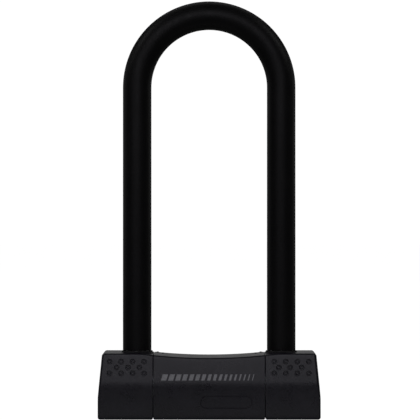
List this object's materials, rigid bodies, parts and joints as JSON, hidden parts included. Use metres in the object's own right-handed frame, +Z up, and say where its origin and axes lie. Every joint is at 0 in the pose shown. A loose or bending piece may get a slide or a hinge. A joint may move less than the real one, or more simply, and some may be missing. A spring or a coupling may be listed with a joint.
{
  "type": "u lock",
  "caption": "Black sleeved U-shaped steel shackle seated in a moulded crossbar with a key cylinder; its bolts catch both feet to lock a bicycle frame to a stand.",
  "frame": {"origin": "centre of the crossbar's underside, on the floor it stands on", "axes": "+Z up, along the shackle's legs; +X along the crossbar, to the right in the front view; +Y to the back"},
  "size_m": [0.162, 0.041, 0.3058],
  "materials": {
    "cover_plastic": "fine-textured black moulded plastic",
    "sleeve_vinyl": "satin black vinyl",
    "collar_rubber": "matt black rubber",
    "tube_steel": "plain cold-drawn steel",
    "hard_steel": "hardened plated steel",
    "pin_steel": "zinc-plated steel",
    "cylinder_brass": "machined brass",
    "shutter_plastic": "dark grey moulded plastic"
  },
  "bodies": {
    "lock_body": {"centre_cover": "cover_plastic", "left_end_cap": "cover_plastic", "right_end_cap": "cover_plastic", "crossbar_tube": "tube_steel", "left_socket_block": "hard_steel", "right_socket_block": "hard_steel", "centre_block": "tube_steel", "left_tube_plug": "tube_steel", "right_tube_plug": "tube_steel", "block_pins": "pin_steel", "cylinder_housing": "cylinder_brass", "cylinder_pin": "pin_steel", "anti_drill_plate": "hard_steel", "left_leg_collar": "collar_rubber", "right_leg_collar": "collar_rubber", "shutter_screw": "pin_steel"},
    "shackle": {"shackle_bar": "hard_steel", "shackle_sleeve": "sleeve_vinyl"},
    "key_rotor": {"plug_barrel": "cylinder_brass", "front_disc": "hard_steel", "locking_discs": "cylinder_brass", "disc_spacers": "pin_steel", "sidebar": "pin_steel", "cam_disc": "hard_steel"},
    "right_bolt": {"right_bolt": "hard_steel", "right_drive_pin": "pin_steel"},
    "left_bolt": {"left_bolt": "hard_steel", "left_drive_pin": "pin_steel"},
    "shutter": {"keyhole_shutter": "shutter_plastic"}
  },
  "joints": [
    {"name": "shackle_lift", "type": "slide", "parent": "lock_body", "child": "shackle", "axis": [0, 0, 1], "range_m": [0, 0.08]},
    {"name": "key_turn", "type": "hinge", "parent": "lock_body", "child": "key_rotor", "pos_m": [0, 0, 0.0235], "axis": [0, 0, 1], "range_deg": [0, 90]},
    {"name": "right_bolt_slide", "type": "slide", "parent": "lock_body", "child": "right_bolt", "axis": [1, 0, 0], "range_m": [0, 0.0045]},
    {"name": "left_bolt_slide", "type": "slide", "parent": "lock_body", "child": "left_bolt", "axis": [-1, 0, 0], "range_m": [0, 0.0045]},
    {"name": "shutter_swing", "type": "hinge", "parent": "lock_body", "child": "shutter", "pos_m": [0.012, 0, 0.0016], "axis": [0, 0, 1], "range_deg": [0, 65]}
  ],
  "couplings": [
    {"joint": "right_bolt_slide", "follows": "key_turn", "m_per_rad": 0.0028648},
    {"joint": "left_bolt_slide", "follows": "key_turn", "m_per_rad": 0.0028648}
  ]
}
